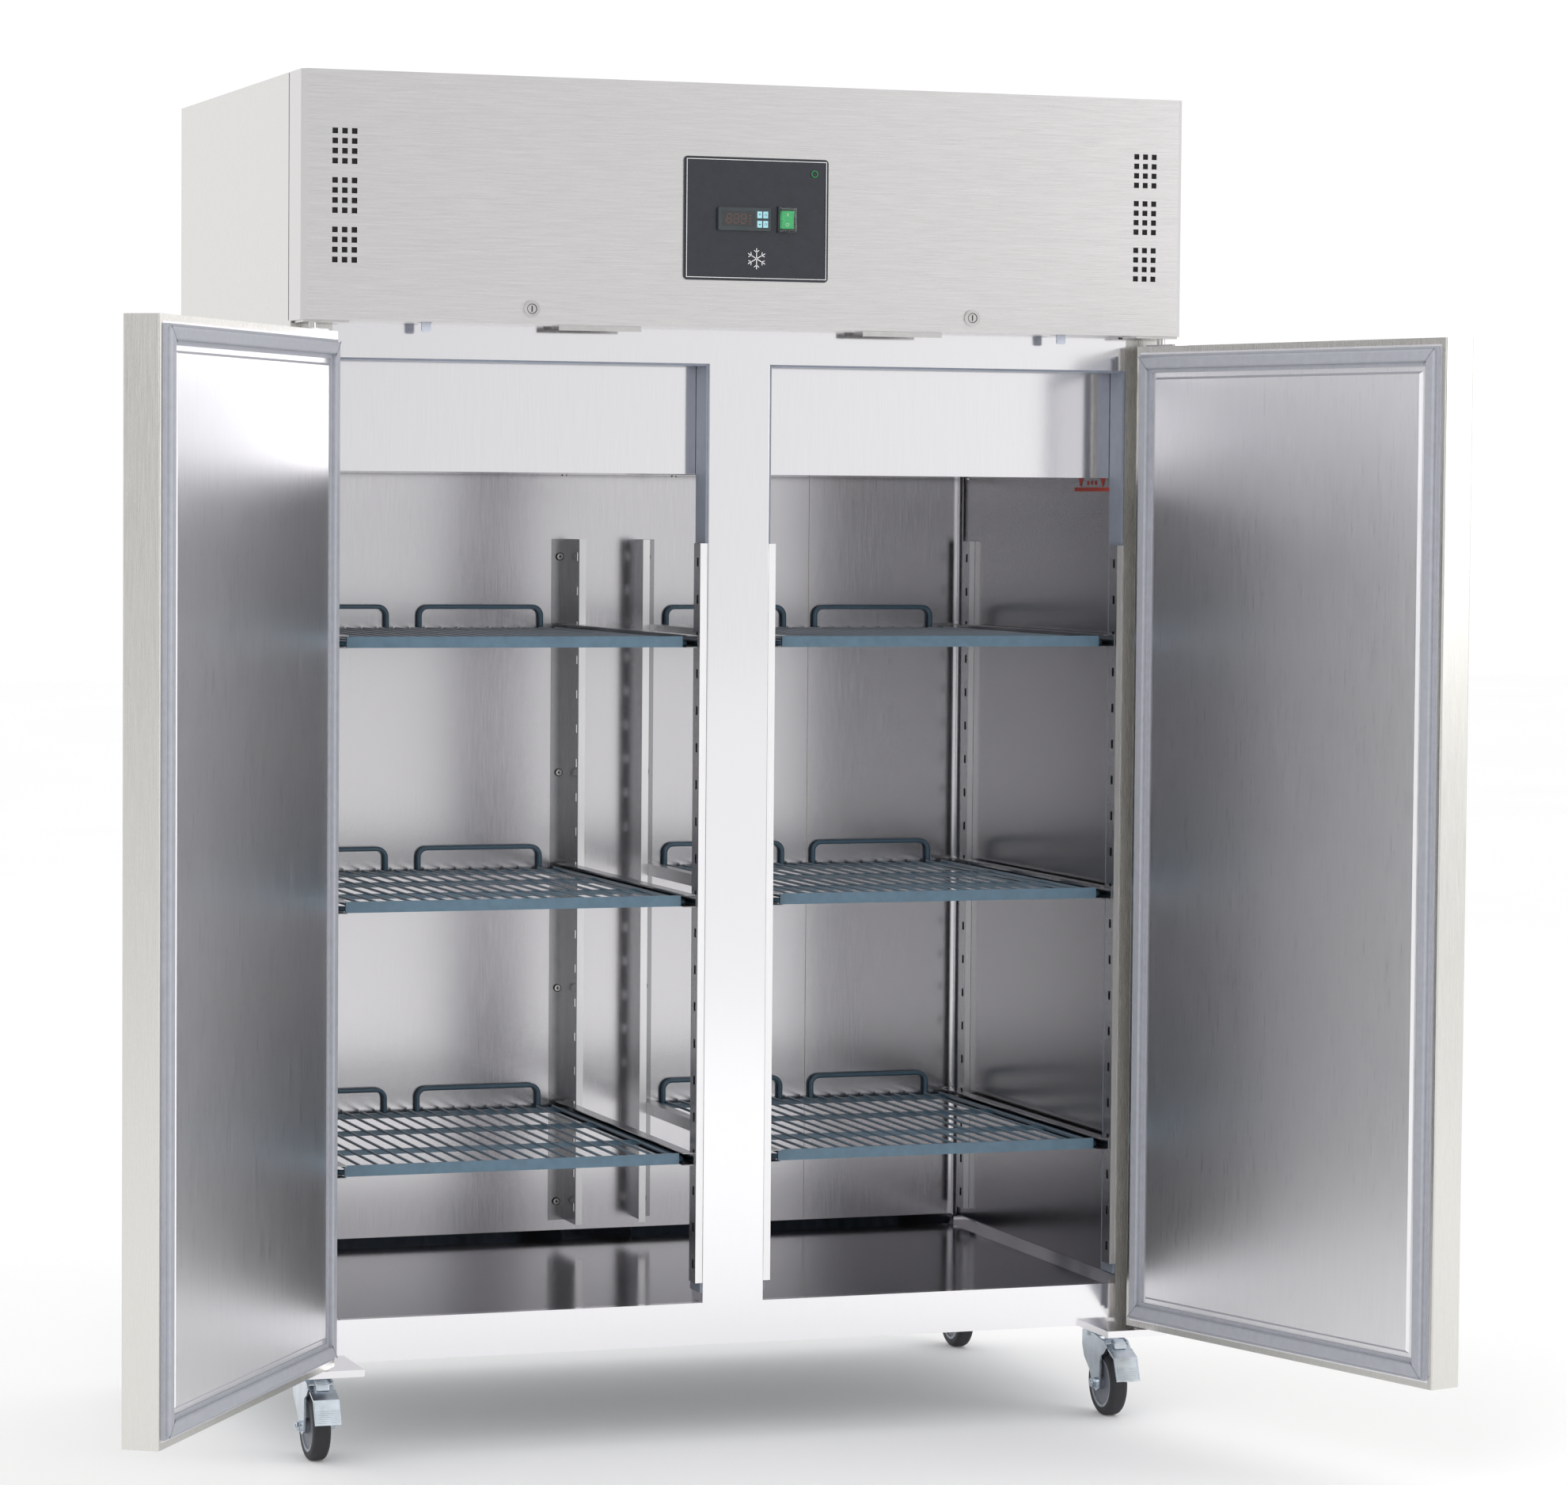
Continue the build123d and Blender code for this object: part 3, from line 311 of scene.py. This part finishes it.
def rectangle(left, bottom, right, top):
    return [(left, bottom), (right, bottom), (right, top), (left, top)]


def close_prism(bm, near, far):
    """Both end faces and the sides between two rings of vertices."""
    bm.faces.new(near)
    bm.faces.new(far[::-1])
    count = len(near)
    for i in range(count):
        j = (i + 1) % count
        bm.faces.new((near[i], far[i], far[j], near[j]))


def prism(bm, outline, y_near, y_far):
    """A flat outline of (x, z) points given depth along y."""
    close_prism(bm, *[[bm.verts.new((x, y, z)) for x, z in outline] for y in (y_near, y_far)])


def block(bm, x, y, z):
    prism(bm, rectangle(x[0], z[0], x[1], z[1]), *y)


def ring(bm, outer, inner, y_near, y_far):
    """A closed band between two outlines with the same number of points."""
    count = len(outer)
    loops = []
    for y in (y_near, y_far):
        for outline in (outer, inner):
            loops.append([bm.verts.new((x, y, z)) for x, z in outline])
    near_out, near_in, far_out, far_in = loops
    for i in range(count):
        j = (i + 1) % count
        bm.faces.new((near_out[i], near_out[j], near_in[j], near_in[i]))
        bm.faces.new((far_out[j], far_out[i], far_in[i], far_in[j]))
        bm.faces.new((near_out[j], near_out[i], far_out[i], far_out[j]))
        bm.faces.new((near_in[i], near_in[j], far_in[j], far_in[i]))


def circle(x, z, radius, count=32):
    return [
        (x + radius * math.cos(2 * math.pi * i / count), z + radius * math.sin(2 * math.pi * i / count))
        for i in range(count)
    ]


def round_line(bm, x, z, outer, inner, y_near, y_far, count=32):
    """A flat band between two circles."""
    ring(bm, circle(x, z, outer, count), circle(x, z, inner, count), y_near, y_far)


def bar(bm, start, end, half, y_near, y_far):
    """A straight line of print between two (x, z) points."""
    a, b = Vector(start), Vector(end)
    along = (b - a).normalized()
    side = Vector((-along.y, along.x)) * half
    corners = [a - side, b - side, b + side, a + side]
    prism(bm, [(c.x, c.y) for c in corners], y_near, y_far)


def extrude_x(bm, outline, x_low, x_high):
    """A flat outline of (y, z) points given depth along x."""
    close_prism(bm, *[[bm.verts.new((x, y, z)) for y, z in outline] for x in (x_low, x_high)])


# ---------------------------------------------------------------- control panel
def control_panel():
    low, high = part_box("control_plate")
    front = low.y + 1 * MM
    near, far = front - 0.25 * MM, front + 0.05 * MM
    inset, line = 3.5 * MM, 0.9 * MM
    left, right = low.x + inset, high.x - inset
    bottom, top = low.z + inset, high.z - inset
    outer = rectangle(left, bottom, right, top)
    inner = rectangle(left + line, bottom + line, right - line, top - line)
    bm = bmesh.new()
    ring(bm, outer, inner, near, far)
    piece("panel_border", bm, "white", "root")

    bm = bmesh.new()
    centre_z = low.z + 32 * MM
    arm = 15 * MM
    for i in range(3):
        angle = math.radians(90 + 60 * i)
        reach = Vector((math.cos(angle), math.sin(angle))) * arm
        middle = Vector((0.0, centre_z))
        bar(bm, middle - reach, middle + reach, 0.6 * MM, near, far)
        for sign in (-1, 1):
            fork = middle + reach * sign * 0.6
            for turn in (-50, 50):
                tip = reach.normalized() * sign
                spin = Matrix.Rotation(math.radians(turn), 2)
                bar(bm, fork, fork + spin @ tip * 5 * MM, 0.5 * MM, near, far)
    piece("panel_snowflake", bm, "white", "root")

    bm = bmesh.new()
    x, z = high.x - 22 * MM, high.z - 21 * MM
    round_line(bm, x, z, 5 * MM, 4 * MM, near, far)
    piece("panel_green_ring", bm, "green", "root")


def seven_segment(bm, x, z, wide, tall, near, far):
    """A slanted digit with all seven of its segments."""
    half = 0.45 * MM
    slant = 0.1 * tall
    corners = {}
    for row, level in (("low", 0.0), ("mid", 0.5), ("top", 1.0)):
        for side, offset in (("l", 0.0), ("r", wide)):
            corners[row + side] = Vector((x + offset + slant * level, z + tall * level))
    level_pairs = (("lowl", "lowr"), ("midl", "midr"), ("topl", "topr"))
    upright_pairs = (("lowl", "midl"), ("midl", "topl"), ("lowr", "midr"), ("midr", "topr"))
    for start, end in level_pairs + upright_pairs:
        a, b = corners[start], corners[end]
        trim = (b - a).normalized() * 0.9 * MM
        bar(bm, a + trim, b - trim, half, near, far)


def controller_face():
    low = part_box("controller")[0]
    face = low.y
    bm = bmesh.new()
    near, far = face + 0.05 * MM, face + 0.12 * MM
    for i in range(3):
        seven_segment(bm, low.x + (12 + 11.0 * i) * MM, low.z + 10.5 * MM, 7 * MM, 13 * MM, near, far)
    for i in range(4):
        mark_z = low.z + (9 + 4 * i) * MM
        block(bm, (low.x + 47.0 * MM, low.x + 49.5 * MM), (near, far), (mark_z, mark_z + 1 * MM))
    piece("display_digits", bm, "digits", "root")
    for number in "1234":
        node = "controller_key_" + number
        key_low, key_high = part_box(node)
        x, z = (key_low.x + key_high.x) / 2, (key_low.z + key_high.z) / 2
        key_near = key_low.y - 0.12 * MM
        key_far = key_low.y + 0.05 * MM
        bm = bmesh.new()
        if number in "13":
            bar(bm, (x - 1.6 * MM, z), (x + 1.6 * MM, z), 0.3 * MM, key_near, key_far)
            tip = 1.6 * MM if number == "1" else -1.6 * MM
            bar(bm, (x - 1.3 * MM, z), (x, z + tip), 0.3 * MM, key_near, key_far)
            bar(bm, (x + 1.3 * MM, z), (x, z + tip), 0.3 * MM, key_near, key_far)
        else:
            round_line(bm, x, z, 1.7 * MM, 1.2 * MM, key_near, key_far, 20)
        piece("key_mark_" + number, bm, "key_mark", node)


def switch_details():
    low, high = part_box("switch_rocker")
    x, z = (low.x + high.x) / 2, (low.z + high.z) / 2
    face = low.y
    bm = bmesh.new()
    bar(bm, (x, z + 5 * MM), (x, z + 9.5 * MM), 0.6 * MM, face + 0.8 * MM, face + 2.4 * MM)
    piece("rocker_mark_on", bm, "white", "switch_rocker")
    bm = bmesh.new()
    round_line(bm, x, z - 7 * MM, 2.4 * MM, 1.7 * MM, face + 3.2 * MM, face + 4.4 * MM, 24)
    piece("rocker_mark_off", bm, "white", "switch_rocker")
    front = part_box("control_plate")[0].y - 0.02 * MM
    bm = bmesh.new()
    steps = ((13.0, 18.0, 0.0), (12.8, 17.8, 5.5), (11.2, 16.2, 8.0))
    corners = ((-1, -1), (1, -1), (1, 1), (-1, 1))
    wall = 0.9
    shells = []
    for shrink in (0.0, wall):
        loops = []
        for half_x, half_z, rise in steps:
            hx, hz = (half_x - shrink) * MM, (half_z - shrink) * MM
            y = front - max(rise - (shrink if rise else 0), 0) * MM
            loops.append([bm.verts.new((x + sx * hx, y, z + sz * hz)) for sx, sz in corners])
        shells.append(loops)
    for loops in shells:
        for a, b in zip(loops, loops[1:]):
            for i in range(4):
                j = (i + 1) % 4
                bm.faces.new((a[i], a[j], b[j], b[i]))
        bm.faces.new(loops[-1])
    for i in range(4):
        j = (i + 1) % 4
        bm.faces.new((shells[0][0][i], shells[0][0][j], shells[1][0][j], shells[1][0][i]))
    piece("switch_clear_cover", bm, "clear", "root", 0.5 * MM)


# ---------------------------------------------------------------- inside
def load_line():
    """The red limit mark on the right wall: a strip, two arrows and three squares."""
    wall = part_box("floor_tray")[1].x - 0.05 * MM
    near, far = wall - 0.35 * MM, wall + 0.15 * MM
    z = 1405 * MM
    bm = bmesh.new()
    outlines = [[(58, -3), (192, -3), (192, 3), (58, 3)]]
    for y in (82, 168):
        outlines.append([(y, 4), (y + 9, 17), (y - 9, 17)])
    for y in (110, 125, 140):
        outlines.append([(y - 3, 7), (y + 3, 7), (y + 3, 13), (y - 3, 13)])
    for outline in outlines:
        extrude_x(bm, [(y * MM, z + dz * MM) for y, dz in outline], near, far)
    piece("load_line", bm, "red", "root")


# ---------------------------------------------------------------- machinery
def condenser_fins():
    low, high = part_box("condenser")
    bm = bmesh.new()
    first, last = low.x + 14 * MM, high.x - 14 * MM
    count = 74
    for i in range(count):
        x = first + (last - first) * i / (count - 1)
        block(bm, (x, x + 0.5 * MM), (low.y + 1.5 * MM, low.y + 9 * MM), (low.z + 12 * MM, high.z - 12 * MM))
    piece("condenser_fins", bm, "fins", "root")


def compressor_cover():
    low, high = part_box("compressor")
    y = (low.y + high.y) / 2
    x_span = (high.x - 30 * MM, high.x - 1 * MM)
    bm = bmesh.new()
    block(bm, x_span, (y - 24 * MM, y + 24 * MM), (low.z + 60 * MM, low.z + 125 * MM))
    piece("compressor_terminal_cover", bm, "fan", "root", 4 * MM)


def fan_guard():
    """Wire rings and spokes in front of the condenser's fan."""
    low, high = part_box("condenser_fan")
    x, z = (low.x + high.x) / 2, (low.z + high.z) / 2
    bm = bmesh.new()
    face = low.y - 3 * MM
    for radius in (30, 50, 70, 90, 110, 128):
        round_line(bm, x, z, (radius + 1.2) * MM, (radius - 1.2) * MM, face, face + 1.6 * MM, 48)
    for i in range(6):
        angle = math.radians(30 + 60 * i)
        way = Vector((math.cos(angle), math.sin(angle)))
        centre = Vector((x, z))
        bar(bm, centre + way * 28 * MM, centre + way * 131 * MM, 1.2 * MM, face - 1.5 * MM, face)
    piece("condenser_fan_guard", bm, "fitting", "root")


def header_details():
    """The small tab behind the top edge of the fascia."""
    low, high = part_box("fascia")
    y_span = (low.y + 30 * MM, low.y + 36 * MM)
    bm = bmesh.new()
    block(bm, (low.x + 19 * MM, low.x + 29 * MM), y_span, (high.z - 6 * MM, high.z - 0.4 * MM))
    piece("fascia_top_tab", bm, "case", "root", 0.5 * MM)


def fascia_seams():
    """The shadow line where each end of the fascia meets its side panel."""
    low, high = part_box("fascia")
    for hand, edge, way in (("left", low.x, -1), ("right", high.x, 1)):
        bm = bmesh.new()
        across = sorted((edge - way * 0.3 * MM, edge + way * 0.25 * MM))
        block(bm, across, (high.y - 0.8 * MM, high.y + 0.8 * MM), (low.z + 1 * MM, high.z - 1 * MM))
        piece("fascia_seam_" + hand, bm, "rubber_and_shade", "root")


def vent_shade_sheets():
    """Near-black sheets behind each vent group, where a filter would sit: painted shade for the dark inside
    of the header.
    """
    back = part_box("fascia")[0].y + 1.2 * MM
    for hand, side in HANDS:
        bm = bmesh.new()
        edges = sorted((side * 0.587, side * 0.630))
        block(bm, edges, (back, back + 1.6 * MM), (1.705, 1.912))
        piece("vent_shade_sheet_" + hand, bm, "shade_sheet", "root", 0.4 * MM)


def lock_faces():
    """Painted shade at the bottom of each lock's key slot, and the shadow line round the cylinder."""
    for hand, side in HANDS:
        node = "lock_cylinder_" + hand
        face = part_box(node)[0].y
        x = LOCK_X * side
        z_span = (LOCK_Z - 4.2 * MM, LOCK_Z + 4.2 * MM)
        bm = bmesh.new()
        block(bm, (x - 0.9 * MM, x + 0.9 * MM), (face - 0.15 * MM, face + 0.1 * MM), z_span)
        round_line(bm, x, LOCK_Z, 7.0 * MM, 6.3 * MM, face - 0.1 * MM, face + 0.1 * MM)
        piece("key_slot_shade_" + hand, bm, "rubber_and_shade", node)


def door_details():
    """The mitred corner lines of each gasket."""
    inset = 0.012
    top, bottom = DOOR_HIGH - inset, DOOR_LOW + inset
    near, far = DOOR_NEAR + inset, DOOR_FAR - inset
    places = ((near, top, 1, -1), (far, top, -1, -1), (near, bottom, 1, 1), (far, bottom, -1, 1))
    start, end, half = 0.003, 0.024, 0.0003
    outline = ((start, -half), (end, -half), (end, half), (start, half))
    for hand, side in HANDS:
        angle = math.radians(OPEN_ANGLES[hand])
        hinge = Vector((side * HINGE_X, HINGE_Y))
        along = Vector((-side * math.cos(angle), -math.sin(angle)))
        depth = Vector((-side * math.sin(angle), math.cos(angle)))
        bm = bmesh.new()
        for u, z, way_u, way_z in places:
            corners = []
            for step, offset in outline:
                corners.append((u + way_u * (step + offset), z + way_z * (step - offset)))
            rings = []
            for v in (0.0408, 0.0418):
                rings.append([bm.verts.new((*(hinge + along * cu + depth * v), cz)) for cu, cz in corners])
            close_prism(bm, *rings)
        piece("gasket_mitres_" + hand, bm, "gasket_line", "door_" + hand)


def at_swivel(points):
    """Points in mm, ahead of the front swivels and above the floor, as (y, z) in metres."""
    return [(SWIVEL_YS["front"] - forward * MM, z * MM) for forward, z in points]


def pedal_details():
    """Pedal ribs, release lever, brake blocks and fork bridge of each front castor."""
    for hand, side in HANDS:
        x = side * CASTOR_X
        bm = bmesh.new()
        start, end = Vector((100.5, 95.5)), Vector((112.4, 66.6))
        out = Vector((34, 14)).normalized() * 0.7
        for i in range(7):
            middle = start + (end - start) * (0.42 + 0.09 * i)
            half = (end - start).normalized() * 0.55
            rib = [middle - half, middle + half, middle + half + out, middle - half + out]
            extrude_x(bm, at_swivel(rib), x - 16.5 * MM, x + 16.5 * MM)
        for edge in (-18.2, 17.2):
            rim = [start, end, end + out, start + out]
            extrude_x(bm, at_swivel(rim), x + edge * MM, x + (edge + 1) * MM)
        piece("pedal_ribs_" + hand, bm, "zinc", "brake_pedal_" + hand)
        bm = bmesh.new()
        lever = [(63, 112), (66, 121), (78, 116.5), (80, 107.5)]
        extrude_x(bm, at_swivel(lever), x - 9.5 * MM, x + 9.5 * MM)
        piece("pedal_release_" + hand, bm, "zinc", "brake_pedal_" + hand, 1.2 * MM)
        bm = bmesh.new()
        for i in range(3):
            f = 68.5 + 3.5 * i
            z = 121.0 - (f - 66) * 0.375
            rib = [(f - 0.6, z - 1.0), (f + 0.6, z - 1.4), (f + 0.6, z + 0.5), (f - 0.6, z + 0.9)]
            extrude_x(bm, at_swivel(rib), x - 8 * MM, x + 8 * MM)
        piece("pedal_release_ribs_" + hand, bm, "zinc", "brake_pedal_" + hand)
        bm = bmesh.new()
        for sign in (-1, 1):
            edges = sorted((x + sign * 10.5 * MM, x + sign * 16.2 * MM))
            extrude_x(bm, at_swivel([(71, 98), (83, 95), (85, 102), (76, 106)]), *edges)
        piece("brake_blocks_" + hand, bm, "rubber_and_shade", "brake_pedal_" + hand, 1.0 * MM)
        bm = bmesh.new()
        bridge = [(38, 117.5), (53, 114.8), (53, 112.8), (38, 115.2)]
        extrude_x(bm, at_swivel(bridge), x - 17 * MM, x + 17 * MM)
        piece("fork_bridge_" + hand, bm, "zinc", "castor_front_" + hand, 0.6 * MM)


def axle_nuts():
    """A six-sided nut and a bolt end on both sides of each wheel."""
    for end, turn in (("front", -1), ("rear", 1)):
        y = SWIVEL_YS[end] + turn * AXLE_TRAIL
        for hand, side in HANDS:
            x = side * CASTOR_X
            bm = bmesh.new()
            for sign in (-1, 1):
                for radius, count, inner, outer in ((7.2, 6, 24, 28.5), (3.4, 16, 28.5, 30.5)):
                    edges = sorted((x + sign * inner * MM, x + sign * outer * MM))
                    outline = [(y + cy, AXLE_Z + cz) for cy, cz in circle(0, 0, radius * MM, count)]
                    extrude_x(bm, outline, *edges)
            piece(f"axle_nuts_{end}_{hand}", bm, "zinc", f"castor_{end}_{hand}", 0.4 * MM)


def post_screws():
    """Painted shade in the rim and the cross recess of each screw head on the rear posts."""
    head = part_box("liner")[1].y - 5 * MM
    for hand, side in HANDS:
        bm = bmesh.new()
        for z in POST_SCREW_ZS:
            x = side * POST_SCREW_X
            round_line(bm, x, z, 6.0 * MM, 4.9 * MM, head - 0.2 * MM, head + 0.6 * MM, 24)
            bar(bm, (x - 2.5 * MM, z), (x + 2.5 * MM, z), 0.6 * MM, head - 0.2 * MM, head + 0.2 * MM)
            bar(bm, (x, z - 2.5 * MM), (x, z + 2.5 * MM), 0.6 * MM, head - 0.2 * MM, head + 0.2 * MM)
        piece("post_screw_shade_" + hand, bm, "rubber_and_shade", "root")


# ---------------------------------------------------------------- set
def camera():
    """The photograph's viewing point: left of the middle, slightly above mid height."""
    yaw, pitch, roll = (math.radians(a) for a in (19.161, -2.786, 0.461))
    ahead = Vector((math.sin(yaw) * math.cos(pitch), math.cos(yaw) * math.cos(pitch), math.sin(pitch)))
    right = Vector((math.cos(yaw), -math.sin(yaw), 0.0))
    above = right.cross(ahead)
    turned_right = right * math.cos(roll) + above * math.sin(roll)
    turned_up = above * math.cos(roll) - right * math.sin(roll)
    data = bpy.data.cameras.new("camera")
    data.lens = 113.7
    data.sensor_width = 36.0
    data.sensor_fit = "HORIZONTAL"
    data.clip_end = 200.0
    item = bpy.data.objects.new("camera", data)
    scene.collection.objects.link(item)
    basis = Matrix((turned_right, turned_up, -ahead)).transposed().to_4x4()
    item.matrix_world = Matrix.Translation((-2.3086, -6.8529, 1.3829)) @ basis
    scene.camera = item


def floor():
    """A pale floor, with a little light of its own so that its far edge shows less."""
    material, nodes, links, shader = new_material("floor_pale")
    soft = noise_at(nodes, links, (1, 1, 1), 0.8, 2.0)
    links.new(ramp(nodes, links, soft, (0.95, 0.95, 0.95), (0.97, 0.97, 0.97)), shader.inputs["Base Color"])
    shader.inputs["Roughness"].default_value = 0.8
    shader.inputs["Specular IOR Level"].default_value = 0.1
    shader.inputs["Emission Color"].default_value = (1, 1, 1, 1)
    shader.inputs["Emission Strength"].default_value = 0.05
    LOOKS["stage"] = material
    mesh = bpy.data.meshes.new("studio_floor")
    half = 30.0
    corners = [(x, y, 0) for x, y in rectangle(-half, -half, half, half)]
    mesh.from_pydata(corners, [], [(0, 1, 2, 3)])
    mesh.materials.append(material)
    item = bpy.data.objects.new("studio_floor", mesh)
    scene.collection.objects.link(item)


def light(name, place, target, size, power):
    data = bpy.data.lights.new(name, "AREA")
    data.shape = "RECTANGLE"
    data.size, data.size_y = size
    data.energy = power
    item = bpy.data.objects.new(name, data)
    scene.collection.objects.link(item)
    way = Vector(target) - Vector(place)
    item.matrix_world = Matrix.Translation(place) @ way.to_track_quat("-Z", "Y").to_matrix().to_4x4()


def lights():
    """A white room, darker behind the camera and to its left, and two soft lamps."""
    world = bpy.data.worlds.new("studio")
    world.use_nodes = True
    nodes, links = world.node_tree.nodes, world.node_tree.links
    background = nodes["Background"]
    place = nodes.new("ShaderNodeTexCoord")
    toward = nodes.new("ShaderNodeVectorMath")
    toward.operation = "DOT_PRODUCT"
    toward.inputs[1].default_value = Vector((-0.5, -0.85, 0.05)).normalized()
    links.new(place.outputs["Generated"], toward.inputs[0])
    shade = nodes.new("ShaderNodeValToRGB")
    shade.color_ramp.elements[0].position = 0.55
    shade.color_ramp.elements[1].position = 0.97
    shade.color_ramp.elements[0].color = (1.0, 1.0, 1.0, 1)
    shade.color_ramp.elements[1].color = (0.40, 0.40, 0.42, 1)
    links.new(toward.outputs["Value"], shade.inputs["Fac"])
    links.new(shade.outputs["Color"], background.inputs["Color"])
    background.inputs["Strength"].default_value = 1.03
    scene.world = world
    scene.view_settings.view_transform = "Standard"
    light("key", (-3.4, -4.6, 3.6), (0, 0, 1.1), (3.6, 3.6), 78)
    light("fill", (4.2, -3.4, 2.6), (0, 0, 1.0), (2.2, 3.0), 42)


dress_nodes()
dress_controller()
for end in SWIVEL_YS:
    for hand, _ in HANDS:
        dress_wheel(f"castor_wheel_{end}_{hand}")
# The liner's side walls get a darker copy of the liner steel: painted shade.
second_look("liner", "liner_shaded_side", lambda c: abs(c.x) > LINER_WALL_X)
dress_uprights()
control_panel()
controller_face()
switch_details()
load_line()
condenser_fins()
compressor_cover()
fan_guard()
header_details()
fascia_seams()
vent_shade_sheets()
lock_faces()
door_details()
pedal_details()
axle_nuts()
post_screws()
camera()
floor()
lights()
